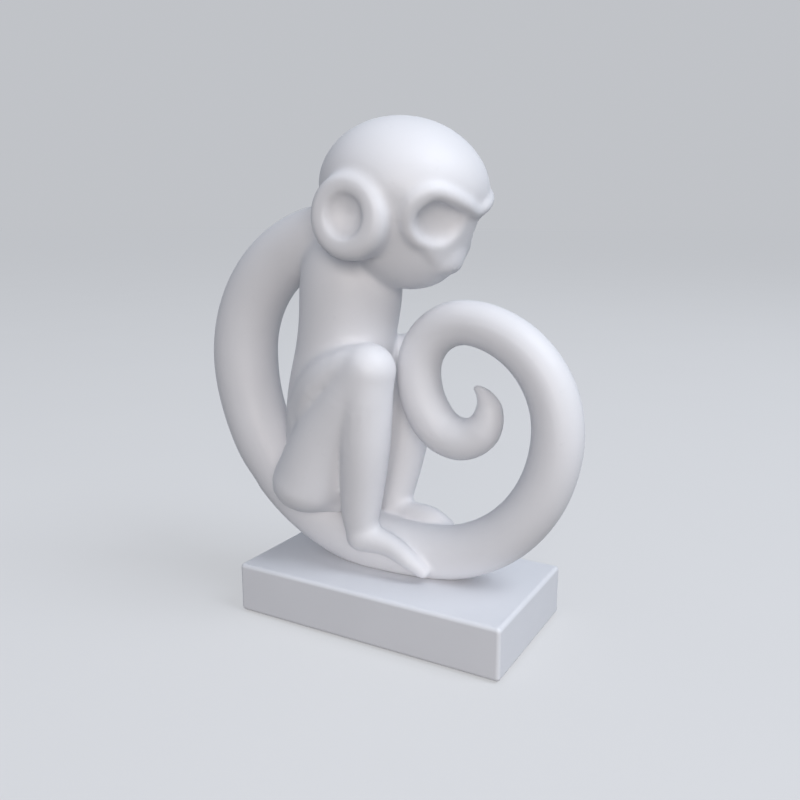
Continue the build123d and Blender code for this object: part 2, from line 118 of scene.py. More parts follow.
# Rolls of clay on the face: ahead, aside and up from the head's centre, then the radius, in millimetres
BROW = (
    (27.3, 0, -6.5, 2.7), (27.9, 6, -4.6, 2.9), (26.2, 12.4, -2, 3), (23.1, 17.4, -0.2, 3),
    (20.5, 20.5, -0.5, 3), (17.3, 22.8, -2.4, 3), (15.3, 23.4, -5.4, 2.9), (14.2, 22.8, -8.6, 2.8))
RIM = (
    (14.7, 23.1, -7, 2.8), (14.1, 22.1, -9.8, 2.8), (14, 20.7, -12.6, 2.7), (15, 17.5, -16, 2.6),
    (18.1, 11.9, -18.2, 2.4), (20.4, 8, -17.4, 2), (20.6, 5.5, -14.8, 1.5))
NOSE = (
    (24.7, 0, -4.6, 3.3), (23.7, 0, -7, 3.4), (22.7, 0, -10.1, 3.5), (21.6, 0, -13.4, 3.5),
    (20.3, 0, -16.4, 3.5), (19, 0, -20, 3.5), (17.4, 0, -24, 3.4))

# Left half of the face's raised mask from the brow down: aside and up from the head's centre, in millimetres
MASK_OUTLINE = (
    (0, -6.5), (6, -4.6), (12.4, -2), (17.4, -0.8), (20.5, -1.2), (22.6, -3), (23.2, -6), (22.5, -9.7),
    (20.8, -12.8), (17.8, -16.9), (14.5, -20.4), (11.2, -23.4), (8, -25.8), (5, -27.2), (0, -27.6))

# Clay pressed into the fold between thigh and flank: place on the left and radius, in millimetres
LAP = (
    (-36, 12, 78, 6.5), (-30, 15, 88, 7.2), (-23.5, 17, 94, 8), (-15.5, 17.8, 99, 8), (-8.5, 17.5, 100, 8))

# The arch of the left thigh from the knee back, and the top of the shin below the knee, in the same way
ARCH = (
    (-4.5, 17.2, 100, 8.8), (-8, 17.8, 101, 8), (-12, 18.7, 100.2, 7.2), (-16.3, 19.5, 98.2, 6.4),
    (-20.4, 20, 95, 5.8), (-24.4, 20, 90.8, 5.3), (-28, 19, 86.2, 4.8), (-32, 17, 80, 4))
SHANK = (
    (-3.5, 17, 98.5, 10.1), (-3.8, 17, 94, 10), (-4.3, 17, 88, 9.8), (-5, 16.6, 80, 9.5), (-6, 16, 70, 9.2))

# The muzzle is turned too, on an axis ahead of the head's, and widened sideways
MUZZLE_OUTLINE = (
    (0, -28.7), (8, -28.5), (12, -27.5), (13.6, -25.8), (14.4, -23.5), (15, -21), (15.6, -18), (15, -14.5),
    (11, -11), (5, -8.5), (0, -8))

# Where two forms flow into each other: how far from both the skin is rubbed, in millimetres, and how often
JOINTS = (
    ("right_ear", "head", 2, 10), ("left_ear", "head", 2, 10),
    ("right_leg", "torso", 3, 18), ("left_leg", "torso", 3, 18),
    ("tail_root", "torso", 4, 20), ("head", "torso", 3, 15), ("right_foot", "right_leg", 4, 20),
    ("left_foot", "left_leg", 4, 20))


class HeadSettings(bpy.types.PropertyGroup):
    """How the head and its face are modelled."""

    place: bpy.props.FloatVectorProperty(
        name="Place", description="Centre of the head",
        default=(2.3 * MM, 0, 161 * MM), subtype="TRANSLATION", size=3)
    turn: bpy.props.FloatProperty(
        name="Turn", description="How far the face is turned to its right",
        default=math.radians(2.5), subtype="ANGLE")
    lean: bpy.props.FloatProperty(
        name="Lean", description="How far the chin is drawn ahead of the crown",
        default=math.radians(4.6), subtype="ANGLE")
    eye_place: bpy.props.FloatVectorProperty(
        name="Eye", description="Middle of an eye's hollow: ahead, aside and up",
        subtype="TRANSLATION", size=3,
        default=(26 * MM, 15.7 * MM, -11.7 * MM))
    eye_aside: bpy.props.FloatProperty(
        name="Eye aside", description="How far an eye looks aside",
        default=math.radians(33.9), subtype="ANGLE")
    eye_down: bpy.props.FloatProperty(
        name="Eye down", description="How far an eye looks down",
        default=math.radians(20.9), subtype="ANGLE")
    eye_hollow: bpy.props.FloatVectorProperty(
        name="Eye hollow", description="Half sizes of the ball that hollows an eye: across, up and deep",
        size=3,
        subtype="XYZ", unit="LENGTH", default=(11.7 * MM, 9 * MM, 9 * MM))
    muzzle_ahead: bpy.props.FloatProperty(
        name="Muzzle ahead", description="How far ahead of the head's the muzzle's axis stands",
        default=8 * MM, unit="LENGTH")
    muzzle_width: bpy.props.FloatProperty(
        name="Muzzle width", description="Width of the muzzle against its length", default=0.92)
    mask_proud: bpy.props.FloatProperty(
        name="Mask", description="How far the mask stands out from the head",
        default=2.5 * MM, unit="LENGTH")
    mask_depth: bpy.props.FloatProperty(
        name="Mask depth", description="Depth of the mask's ball against its width", default=0.925)


class EarSettings(bpy.types.PropertyGroup):
    """How the ears are trimmed."""

    height: bpy.props.FloatProperty(
        name="Height", description="Height of an ear against its CAD solid",
        default=0.91, min=0.5, max=1.2)
    shift: bpy.props.FloatVectorProperty(
        name="Shift", description="How far an ear is moved on its seat",
        default=(-0.4 * MM, 0, -1.2 * MM),
        subtype="TRANSLATION", size=3)


class LegSettings(bpy.types.PropertyGroup):
    """How the legs are trimmed."""

    seat_height: bpy.props.FloatProperty(
        name="Seat", description="Height below which the thigh is pressed flatter",
        default=52 * MM, unit="LENGTH")
    seat_press: bpy.props.FloatProperty(
        name="Press", description="What is left of the thigh's height below that",
        default=0.78, min=0.3, max=1)
    knee_place: bpy.props.FloatVectorProperty(
        name="Knee", description="Middle of the left knee",
        default=(-3.5 * MM, 17 * MM, 98.5 * MM),
        subtype="TRANSLATION", size=3)
    knee_reach: bpy.props.FloatProperty(
        name="Knee reach", description="How far round its middle a knee is rubbed",
        default=10 * MM, unit="LENGTH")
    knee_polish: bpy.props.IntProperty(
        name="Knee polish", description="How often a knee is rubbed down", default=24, min=0)


class SkinSettings(bpy.types.PropertyGroup):
    """How the clay is fused and cut."""

    grain: bpy.props.FloatProperty(
        name="Grain", description="Size of the faces of the modelled skin",
        default=0.8 * MM, unit="LENGTH")
    polish: bpy.props.IntProperty(
        name="Polish", description="How often the whole skin is rubbed down", default=5, min=0)
    face_polish: bpy.props.IntProperty(
        name="Face polish", description="How often the face is rubbed down after that", default=4, min=0)
    cut_margin: bpy.props.FloatProperty(
        name="Cut margin", description="How far outside a clay form the skin is cut for its piece",
        default=1.2 * MM, unit="LENGTH")


class FeltSettings(bpy.types.PropertyGroup):
    """How the felt under the base is cut."""

    corner: bpy.props.FloatProperty(
        name="Corner", description="Radius of the felt's corners", default=3 * MM, unit="LENGTH")
    edge: bpy.props.FloatProperty(
        name="Edge", description="Rounding of the felt's cut edge", default=0.45 * MM, unit="LENGTH")
    nap: bpy.props.FloatProperty(
        name="Nap", description="How uneven the felt's surface is", default=0.06 * MM, unit="LENGTH")


def colour_of(slot, words):
    """A colour setting that starts from the record's colour of a slot."""
    return bpy.props.FloatVectorProperty(
        name=slot.replace("_", " ").capitalize(), description=words, default=COLOURS[slot],
        subtype="COLOR", size=3, min=0, max=1)


class FinishSettings(bpy.types.PropertyGroup):
    """Colours of the finishes."""

    white_resin: colour_of("white_resin", "White of the figure")
    plinth_resin: colour_of("plinth_resin", "White of the plinth")
    plate_resin: colour_of("plate_resin", "Grey of the base plate")
    steel: colour_of("steel", "Colour of screws and dowels")
    brass: colour_of("brass", "Colour of the threaded inserts")
    ballast_iron: colour_of("ballast_iron", "Colour of the ballast")
    felt: colour_of("felt", "Colour of the felt")


class StageSettings(bpy.types.PropertyGroup):
    """Camera, floor and light."""

    camera_place: bpy.props.FloatVectorProperty(
        name="Camera", description="Where the camera stands",
        default=(0.1474, -0.26105, 0.14995),
        subtype="TRANSLATION", size=3)
    camera_turn: bpy.props.FloatProperty(
        name="Turn", description="Camera's turn round the figure",
        default=math.radians(29.4), subtype="ANGLE")
    camera_tilt: bpy.props.FloatProperty(
        name="Tilt", description="Camera's tilt down", default=math.radians(12.05), subtype="ANGLE")
    camera_lens: bpy.props.FloatProperty(
        name="Lens", description="Focal length in millimetres on a 36 mm sensor", default=36.78)
    floor: bpy.props.FloatVectorProperty(
        name="Floor", description="Colour of the floor",
        default=(0.72, 0.73, 0.75), subtype="COLOR", size=3)
    backdrop: bpy.props.FloatVectorProperty(
        name="Backdrop", description="Colour behind the floor",
        default=(0.53, 0.545, 0.575), subtype="COLOR", size=3)
    ambient: bpy.props.FloatVectorProperty(
        name="Ambient", description="Light from all round",
        default=(0.27, 0.30, 0.355), subtype="COLOR", size=3)
    key_place: bpy.props.FloatVectorProperty(
        name="Key", description="Where the key lamp hangs",
        default=(1.16, 0, 1.51), subtype="TRANSLATION", size=3)
    key_power: bpy.props.FloatProperty(
        name="Key power", description="Power of the key lamp", default=19.5, subtype="POWER")
    fill_place: bpy.props.FloatVectorProperty(
        name="Fill", description="Where the fill lamp stands",
        default=(0.59, -1.02, 0.40), subtype="TRANSLATION", size=3)
    fill_power: bpy.props.FloatProperty(
        name="Fill power", description="Power of the fill lamp", default=2.75, subtype="POWER")
    key_size: bpy.props.FloatProperty(
        name="Key size", description="Width of the key lamp", default=0.9, unit="LENGTH")
    fill_size: bpy.props.FloatProperty(
        name="Fill size", description="Width of the fill lamp", default=0.5, unit="LENGTH")
    key_spread: bpy.props.FloatProperty(
        name="Key spread", description="Angle over which the key lamp spreads its light",
        default=math.radians(180), subtype="ANGLE")
    fill_spread: bpy.props.FloatProperty(
        name="Fill spread", description="Angle over which the fill lamp spreads its light",
        default=math.radians(120), subtype="ANGLE")
    key_colour: bpy.props.FloatVectorProperty(
        name="Key colour", description="Colour of the key lamp",
        default=(0.87, 0.92, 1.0), subtype="COLOR", size=3)
    fill_colour: bpy.props.FloatVectorProperty(
        name="Fill colour", description="Colour of the fill lamp",
        default=(1.0, 0.93, 0.88), subtype="COLOR", size=3)
    floor_size: bpy.props.FloatProperty(
        name="Floor size", description="Width of the floor", default=60, unit="LENGTH")


def only(*objects):
    """Selects these objects alone, the last one active."""
    if bpy.context.object and bpy.context.object.mode != "OBJECT":
        bpy.ops.object.mode_set(mode="OBJECT")
    bpy.ops.object.select_all(action="DESELECT")
    for thing in objects:
        thing.select_set(True)
    bpy.context.view_layer.objects.active = objects[-1]


def settled(thing, name):
    """Names a piece and puts its place and size into its mesh."""
    thing.name = name
    only(thing)
    bpy.ops.object.transform_apply(location=True, rotation=True, scale=True)
    return thing


def finish_with(thing, kind, **settings):
    """Adds a modifier and applies it."""
    only(thing)
    modifier = thing.modifiers.new(kind.lower(), kind)
    for name, value in settings.items():
        setattr(modifier, name, value)
    bpy.ops.object.modifier_apply(modifier=modifier.name)


def copied(mesh, name):
    """A merged copy of a mesh as a new object."""
    thing = bpy.data.objects.new(name, mesh.copy())
    bpy.context.scene.collection.objects.link(thing)
    thing.data.materials.clear()
    merged(thing)
    return thing


def merged(thing):
    """Merges doubled vertices."""
    only(thing)
    bpy.ops.object.mode_set(mode="EDIT")
    bpy.ops.mesh.select_all(action="SELECT")
    bpy.ops.mesh.remove_doubles(threshold=MERGE)
    bpy.ops.object.mode_set(mode="OBJECT")


def drawn(places):
    """Draws a new line through these places, and leaves it selected for editing."""
    bpy.ops.object.select_all(action="DESELECT")
    bpy.ops.mesh.primitive_plane_add(size=MM)
    bpy.ops.object.mode_set(mode="EDIT")
    bpy.ops.mesh.select_all(action="SELECT")
    bpy.ops.mesh.merge(type="CENTER")
    bpy.ops.transform.translate(value=places[0])
    for last, place in zip(places, places[1:]):
        bpy.ops.mesh.extrude_vertices_move(TRANSFORM_OT_translate={"value": place - last})
    bpy.ops.mesh.select_all(action="SELECT")


def turned(name, outline, steps=64):
    """A closed form turned from an outline of radius and height in millimetres."""
    drawn([Vector((radius, 0, height)) * MM for radius, height in outline])
    bpy.ops.mesh.spin(steps=steps, angle=math.tau, center=(0, 0, 0), axis=(0, 0, 1))
    bpy.ops.mesh.select_all(action="SELECT")
    bpy.ops.mesh.remove_doubles(threshold=MERGE)
    bpy.ops.mesh.normals_make_consistent(inside=False)
    bpy.ops.object.mode_set(mode="OBJECT")
    return settled(bpy.context.object, name)


def roll(name, points):
    """A roll of clay along five or more points of place and radius in millimetres."""
    bpy.ops.object.select_all(action="DESELECT")
    bpy.ops.curve.primitive_nurbs_path_add(location=(0, 0, 0))
    path = bpy.context.object
    spline = path.data.splines[0]
    spline.points.add(len(points) - len(spline.points))
    for point, (x, y, z, radius) in zip(spline.points, points):
        point.co = (x * MM, y * MM, z * MM, 1)
        point.radius = radius
    spline.order_u = 3
    spline.use_endpoint_u = True
    path.data.bevel_depth = MM
    path.data.bevel_resolution = 6
    path.data.use_fill_caps = True
    only(path)
    bpy.ops.object.convert(target="MESH")
    thing = settled(bpy.context.object, name)
    merged(thing)
    return thing


def both_sides(points):
    """Points from one end over the middle, the first one, to the other end."""
    return [*reversed(points), *((x, -y, z, radius) for x, y, z, radius in points[1:])]


def one_side(points, side):
    """Points of the left side, or their mirror image for the right one."""
    return [(x, side * y, z, radius) for x, y, z, radius in points]


def chosen(thing, mask):
    """Selects the vertices that a mask marks, and opens the mesh for editing."""
    only(thing)
    bpy.ops.object.mode_set(mode="EDIT")
    bpy.ops.mesh.select_mode(type="VERT")
    bpy.ops.mesh.select_all(action="DESELECT")
    bpy.ops.object.mode_set(mode="OBJECT")
    thing.data.vertices.foreach_set("select", np.asarray(mask, bool))
    bpy.ops.object.mode_set(mode="EDIT")


def chosen_edges(thing, test):
    """Selects the edges whose two ends pass a test, and opens the mesh for editing."""
    only(thing)
    bpy.ops.object.mode_set(mode="EDIT")
    bpy.ops.mesh.select_mode(type="EDGE")
    bpy.ops.mesh.select_all(action="DESELECT")
    bpy.ops.object.mode_set(mode="OBJECT")
    ends = thing.data.vertices
    for edge in thing.data.edges:
        edge.select = test(ends[edge.vertices[0]].co, ends[edge.vertices[1]].co)
    bpy.ops.object.mode_set(mode="EDIT")


def pressed_seat(thing, settings):
    """Presses the underside of the seat flatter."""
    places = places_of(thing)
    chosen(thing, (places[:, 2] < settings.seat_height) & (places[:, 0] < SEAT_END))
    bpy.ops.transform.resize(value=(1, 1, settings.seat_press), center_override=(0, 0, settings.seat_height))
    bpy.ops.object.mode_set(mode="OBJECT")


def places_of(thing):
    """Places of all vertices, one row each."""
    places = np.empty(len(thing.data.vertices) * 3, np.float32)
    thing.data.vertices.foreach_get("co", places)
    return places.reshape(-1, 3)


def rubbed(thing, mask, repeat):
    """Smooths the marked vertices."""
    chosen(thing, mask)
    bpy.ops.mesh.vertices_smooth(factor=RUB_FACTOR, repeat=repeat)
    bpy.ops.object.mode_set(mode="OBJECT")


def rubbed_softly(thing, distance, reach, repeat):
    """Smooths what lies within a reach, and less and less beyond it."""
    for share in RUB_SHARES:
        rubbed(thing, distance < reach * share, max(1, repeat // len(RUB_SHARES)))


def whole_part(thing):
    """Drops the crumbs that a cut leaves, and gives the piece itself."""
    name = thing.name
    only(thing)
    bpy.ops.object.mode_set(mode="EDIT")
    bpy.ops.mesh.select_all(action="SELECT")
    bpy.ops.mesh.separate(type="LOOSE")
    bpy.ops.object.mode_set(mode="OBJECT")
    parts = sorted(bpy.context.selected_objects, key=lambda part: len(part.data.vertices))
    piece = parts.pop()
    for crumb in parts:
        bpy.data.objects.remove(crumb)
    piece.name = name
    return piece


def nearness(thing, form, reach):
    """Distance of each vertex from the surface of a form, or infinity beyond a reach."""
    tree = BVHTree.FromPolygons(
        [vertex.co for vertex in form.data.vertices], [polygon.vertices for polygon in form.data.polygons])
    surface = places_of(form)
    places = places_of(thing)
    inside = np.all((places > surface.min(0) - reach) & (places < surface.max(0) + reach), axis=1)
    result = np.full(len(places), np.inf)
    for index in np.flatnonzero(inside):
        found = tree.find_nearest(places[index], reach)
        if found[3] is not None:
            result[index] = found[3]
    return result


class Wire:
    """An output socket. Sums on it add Math nodes."""

    def __init__(self, nodes, socket):
        self.nodes = nodes
        self.socket = socket

    def __add__(self, other):
        return self.nodes.maths("ADD", self, other)

    def __radd__(self, other):
        return self.nodes.maths("ADD", other, self)

    def __sub__(self, other):
        return self.nodes.maths("SUBTRACT", self, other)

    def __rsub__(self, other):
        return self.nodes.maths("SUBTRACT", other, self)

    def __mul__(self, other):
        return self.nodes.maths("MULTIPLY", self, other)

    def __rmul__(self, other):
        return self.nodes.maths("MULTIPLY", other, self)

    def __pow__(self, other):
        return self.nodes.maths("POWER", self, other)


class Nodes:
    """A node tree in the making."""

    def __init__(self, tree):
        self.tree = tree
        tree.nodes.clear()

    def add(self, kind, settings, values, output=0):
        """Adds a node, sets its settings, then its sockets, and gives one of its outputs."""
        node = self.tree.nodes.new(kind)
        for name, value in settings.items():
            setattr(node, name, value)
        for name, value in values.items():
            socket = self.open_socket(node.inputs, name)
            if isinstance(value, Wire):
                self.tree.links.new(value.socket, socket)
            else:
                socket.default_value = value
        return Wire(self, self.open_socket(node.outputs, output)) if node.outputs else None

    def open_socket(self, sockets, name):
        """The socket with this name or number among those in use."""
        in_use = [socket for socket in sockets if socket.enabled]
        if isinstance(name, int):
            return in_use[name]
        return next(socket for socket in in_use if socket.name == name)

    def maths(self, operation, first, second):
        """A Math node on two numbers."""
        return self.add("ShaderNodeMath", {"operation": operation}, {0: first, 1: second})

    def vector(self, operation, first, second):
        """A Vector Math node on two vectors."""
        return self.add("ShaderNodeVectorMath", {"operation": operation}, {0: first, 1: second})

    def mix(self, share, first, second):
        """From one colour to another by a share of 0 to 1."""
        colours = {"Factor": share, "A": first, "B": second}
        return self.add("ShaderNodeMix", {"data_type": "RGBA"}, colours)

    def place(self):
        """Place on the piece, in metres."""
        return self.add("ShaderNodeTexCoord", {}, {}, "Object")

    def noise(self, where, scale, detail=2, roughness=0.5):
        """A noise of about 0.3 to 0.7."""
        values = {"Vector": where, "Scale": scale, "Detail": detail, "Roughness": roughness}
        return self.add("ShaderNodeTexNoise", {}, values, "Fac")

    def bump(self, height, strength, distance):
        """A normal bent by a height."""
        return self.add("ShaderNodeBump", {}, {"Strength": strength, "Distance": distance, "Height": height})

    def looked_at(self):
        """One for what the camera sees, straight, mirrored or through glass, and nought for other light."""
        kinds = ("Camera", "Glossy", "Transmission")
        straight, mirrored, through = (
            self.add("ShaderNodeLightPath", {}, {}, f"Is {kind} Ray") for kind in kinds)
        return self.maths("MINIMUM", straight + mirrored + through, 1)


def shade(colour, factor):
    """A colour made darker or lighter, with full alpha."""
    return (*(channel * factor for channel in colour[:3]), 1)


def finished(name, make, colour):
    """A new material whose nodes a function makes from a colour."""
    material = bpy.data.materials.new(name)
    material.use_nodes = True
    nodes = Nodes(material.node_tree)
    surface = nodes.add("ShaderNodeBsdfPrincipled", {}, make(nodes, colour))
    nodes.add("ShaderNodeOutputMaterial", {}, {"Surface": surface})
    return material


def cast_white(nodes, colour):
    """Rubbed white casting: a faint cloud in the white, uneven polish and a fine grain."""
    place = nodes.place()
    cloud = nodes.noise(place, scale=34, detail=3)
    rub = nodes.noise(place, scale=210, detail=4, roughness=0.6)
    grain = nodes.noise(place, scale=1500, detail=2)
    speck = nodes.noise(place, scale=420, detail=1)
    white = nodes.mix((cloud - 0.3) * 2.5, shade(colour, 0.965), shade(colour, 1))
    dusty = nodes.mix((speck - 0.68) * 3, white, shade(colour, 0.93))
    return {
        "Base Color": dusty, "Roughness": 0.40 + 0.2 * rub, "IOR": 1.46,
        "Normal": nodes.bump(grain * 0.4 + rub, strength=0.06, distance=0.00012)}


def cast_block(nodes, colour):
    """The plinth's casting: flatter, with a slight roll of the surface and wiped marks along it."""
    place = nodes.place()
    along = nodes.vector("MULTIPLY", place, (0.25, 1, 1))
    cloud = nodes.noise(place, scale=24, detail=3)
    wipe = nodes.noise(along, scale=320, detail=4, roughness=0.65)
    grain = nodes.noise(place, scale=1300, detail=2)
    white = nodes.mix((cloud - 0.3) * 2.5, shade(colour, 0.955), shade(colour, 1))
    return {
        "Base Color": white, "Roughness": 0.34 + 0.24 * wipe, "IOR": 1.46,
        "Normal": nodes.bump(grain * 0.4 + wipe * 0.7, strength=0.07, distance=0.00012)}


def moulded_sheet(nodes, colour):
    """Grey moulded sheet with a fine leathery grain."""
    place = nodes.place()
    cell = nodes.add("ShaderNodeTexVoronoi", {}, {"Vector": place, "Scale": 1100}, "Distance")
    cloud = nodes.noise(place, scale=60, detail=3)
    grey = nodes.mix((cloud - 0.3) * 2.5, shade(colour, 0.88), shade(colour, 1.05))
    return {
        "Base Color": grey, "Roughness": 0.48 + 0.2 * cell,
        "Normal": nodes.bump(cell, strength=0.35, distance=0.00015)}


def drawn_metal(nodes, colour):
    """Drawn steel or turned brass: fine lines and a little tarnish."""
    place = nodes.place()
    lines = nodes.noise(nodes.vector("MULTIPLY", place, (1, 1, 9)), scale=700, detail=3, roughness=0.6)
    tarnish = nodes.noise(place, scale=180, detail=4, roughness=0.6)
    metal = nodes.mix((tarnish - 0.4) * 2.5, shade(colour, 1.05), shade(colour, 0.72))
    return {
        "Base Color": metal, "Metallic": 1.0, "Roughness": 0.22 + 0.2 * lines + 0.12 * tarnish,
        "Normal": nodes.bump(lines, strength=0.15, distance=0.0001)}


def cast_iron(nodes, colour):
    """Rough cast iron with a sandy skin and rusty hollows."""
    place = nodes.place()
    sand = nodes.noise(place, scale=900, detail=5, roughness=0.65)
    rust = nodes.noise(place, scale=130, detail=5, roughness=0.65)
    iron = nodes.mix((rust - 0.52) * 5, shade(colour, 1), (0.17, 0.105, 0.07, 1))
    return {
        "Base Color": iron, "Metallic": 0.85 - 0.6 * rust, "Roughness": 0.5 + 0.35 * sand,
        "Normal": nodes.bump(sand, strength=0.7, distance=0.0004)}


def pressed_felt(nodes, colour):
    """Dark pressed felt: matted fibres that lie both ways, with lighter ends."""
    place = nodes.place()
    along = nodes.vector("MULTIPLY", place, (0.22, 1, 1))
    across = nodes.vector("MULTIPLY", place, (1, 0.22, 1))
    lengthways = nodes.noise(along, scale=2600, detail=3, roughness=0.7)
    crossways = nodes.noise(across, scale=2600, detail=3, roughness=0.7)
    mat = nodes.noise(place, scale=90, detail=4, roughness=0.6)
    fibre = nodes.maths("MAXIMUM", lengthways, crossways)
    dark = nodes.mix((fibre - 0.42) * 3, shade(colour, 0.6), shade(colour, 1.55))
    worn = nodes.mix((mat - 0.5) * 1.6, dark, shade(colour, 0.8))
    return {
        "Base Color": worn, "Roughness": 0.86 + 0.12 * fibre, "Sheen Weight": 0.35, "Sheen Roughness": 0.5,
        "Normal": nodes.bump(fibre + mat, strength=0.8, distance=0.0003)}


MAKERS = {
    "white_resin": cast_white, "plinth_resin": cast_block, "plate_resin": moulded_sheet, "steel": drawn_metal,
    "brass": drawn_metal, "ballast_iron": cast_iron, "felt": pressed_felt}


class MONKEY_OT_head(bpy.types.Operator):
    """Models the head in clay: a turned ball, a raised mask, hollow eyes with rims, brow, nose and muzzle"""

    bl_idname = "monkey.head"
    bl_label = "Head"

    def execute(self, context):
        settings = context.scene.monkey_head
        ball = turned("ball", HEAD_OUTLINE)
        proud = settings.mask_proud / MM
        wider = [(radius + proud if radius else 0, height) for radius, height in HEAD_OUTLINE]
        mask = turned("mask", wider)
        mask.scale = (settings.mask_depth, 1, 1)
        muzzle = turned("muzzle", MUZZLE_OUTLINE)
        muzzle.location = (settings.muzzle_ahead, 0, 0)
        muzzle.scale = (1, settings.muzzle_width, 1)
        lean = Matrix.Identity(4)
        lean[0][2] = -math.tan(settings.lean)
        for form in (ball, mask, muzzle):
            settled(form, form.name)
            finish_with(form, "SUBSURF", levels=2, render_levels=2)
        for form in (ball, mask):
            form.data.transform(lean)
        plate = self.mask_plate()
        finish_with(mask, "BOOLEAN", operation="INTERSECT", solver="EXACT", object=plate)
        bpy.data.objects.remove(plate)
        for side in SIDES.values():
            hollow = self.eye_hollow(settings, side)
            for form in (ball, mask, muzzle):
                finish_with(form, "BOOLEAN", operation="DIFFERENCE", solver="EXACT", object=hollow)
            bpy.data.objects.remove(hollow)
        forms = [ball, mask, muzzle, roll("brow", both_sides(BROW)), roll("nose", NOSE)]
        for side in SIDES.values():
            forms.append(roll("rim", one_side(RIM, side)))
        only(*forms)
        bpy.ops.object.join()
        head = context.object
        head.rotation_euler = (0, 0, -settings.turn)
        head.location = settings.place
        settled(head, CLAY + "head")
        return {"FINISHED"}

    def mask_plate(self):
        """A thick plate with the mask's outline, through the front half of the head."""
        half = [Vector((PLATE_START, aside * MM, up * MM)) for aside, up in MASK_OUTLINE]
        other = [Vector((PLATE_START, -aside * MM, up * MM)) for aside, up in reversed(MASK_OUTLINE[1:-1])]
        drawn([*half, *other])
        bpy.ops.mesh.edge_face_add()
        bpy.ops.mesh.extrude_region_move(TRANSFORM_OT_translate={"value": (PLATE_THICK, 0, 0)})
        bpy.ops.mesh.select_all(action="SELECT")
        bpy.ops.mesh.normals_make_consistent(inside=False)
        bpy.ops.object.mode_set(mode="OBJECT")
        return settled(bpy.context.object, "plate")

    def eye_hollow(self, settings, side):
        """The ball that hollows one eye."""
        across, up, deep = settings.eye_hollow
        bpy.ops.mesh.primitive_uv_sphere_add(
            segments=48, ring_count=32, radius=1,
            location=Vector(settings.eye_place) * Vector((1, side, 1)),
            rotation=(0, math.pi / 2 + settings.eye_down, side * settings.eye_aside),
            scale=(up, across, deep))
        return settled(bpy.context.object, "hollow")


class MONKEY_OT_ears(bpy.types.Operator):
    """Takes the ears as clay and trims them"""

    bl_idname = "monkey.ears"
    bl_label = "Ears"

    def execute(self, context):
        settings = context.scene.monkey_ears
        for side in SIDES:
            node = f"{side}_ear"
            copied(NODES[node].data, CLAY + node)
            middle = (Vector(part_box(node)[0]) + Vector(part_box(node)[1])) / 2
            bpy.ops.object.mode_set(mode="EDIT")
            bpy.ops.mesh.select_all(action="SELECT")
            bpy.ops.transform.resize(value=(1, 1, settings.height), center_override=middle)
            bpy.ops.transform.translate(value=settings.shift)
            bpy.ops.object.mode_set(mode="OBJECT")
        return {"FINISHED"}


class MONKEY_OT_torso(bpy.types.Operator):
    """Takes the torso as clay, with the dowels that fill its bores"""

    bl_idname = "monkey.torso"
    bl_label = "Torso"

    def execute(self, context):
        for node in ("torso", *DOWELS):
            copied(NODES[node].data, CLAY + node)
        pressed_seat(bpy.data.objects[CLAY + "torso"], context.scene.monkey_legs)
        return {"FINISHED"}


class MONKEY_OT_legs(bpy.types.Operator):
    """Takes legs and feet as clay, presses the seat flatter and adds the thigh's arch and the shin's top"""

    bl_idname = "monkey.legs"
    bl_label = "Legs and Feet"

    def execute(self, context):
        settings = context.scene.monkey_legs
        for side, sign in SIDES.items():
            copied(NODES[f"{side}_foot"].data, CLAY + f"{side}_foot")
            leg = copied(NODES[f"{side}_leg"].data, CLAY + f"{side}_leg")
            pressed_seat(leg, settings)
            fills = [roll("fill", one_side(points, sign)) for points in (LAP, ARCH, SHANK)]
            only(*fills, leg)
            bpy.ops.object.join()
        return {"FINISHED"}


class MONKEY_OT_tail(bpy.types.Operator):
    """Takes the three lengths of tail as clay"""

    bl_idname = "monkey.tail"
    bl_label = "Tail"

    def execute(self, context):
        for node in TAIL:
            copied(NODES[node].data, CLAY + node)
        return {"FINISHED"}


class MONKEY_OT_skin(bpy.types.Operator):
    """Fuses the clay into one soft skin"""

    bl_idname = "monkey.skin"
    bl_label = "Skin"

    def execute(self, context):
        settings = context.scene.monkey_skin
        clay = [thing for thing in bpy.data.objects if thing.name.startswith(CLAY)]
        for thing in clay:
            if thing.name.removeprefix(CLAY) not in DOWELS:
                copied(thing.data, CELL + thing.name.removeprefix(CLAY))
        only(*clay)
        bpy.ops.object.join()
        skin = context.object
        skin.name = SKIN
        finish_with(skin, "REMESH", mode="VOXEL", voxel_size=settings.grain)
        rubbed(skin, np.ones(len(skin.data.vertices), bool), settings.polish)
        ahead, _, up = (places_of(skin) - np.array(context.scene.monkey_head.place)).T
        rubbed(skin, (ahead > FACE_AHEAD) & (up < FACE_HIGH) & (up > FACE_LOW), settings.face_polish)
        legs = context.scene.monkey_legs
        for sign in SIDES.values():
            knee = np.array(legs.knee_place) * (1, sign, 1)
            distance = np.linalg.norm(places_of(skin) - knee, axis=1)
            rubbed_softly(skin, distance, legs.knee_reach, legs.knee_polish)
        for one, other, reach, repeat in JOINTS:
            self.softened(skin, one, other, reach * MM, repeat)
        return {"FINISHED"}

    def softened(self, skin, one, other, reach, repeat):
        """Rubs the skin down where two clay forms meet."""
        furthest = RUB_SHARES[0] * reach
        near = [nearness(skin, bpy.data.objects[CELL + node], furthest) for node in (one, other)]
        rubbed_softly(skin, np.maximum(*near), reach, repeat)


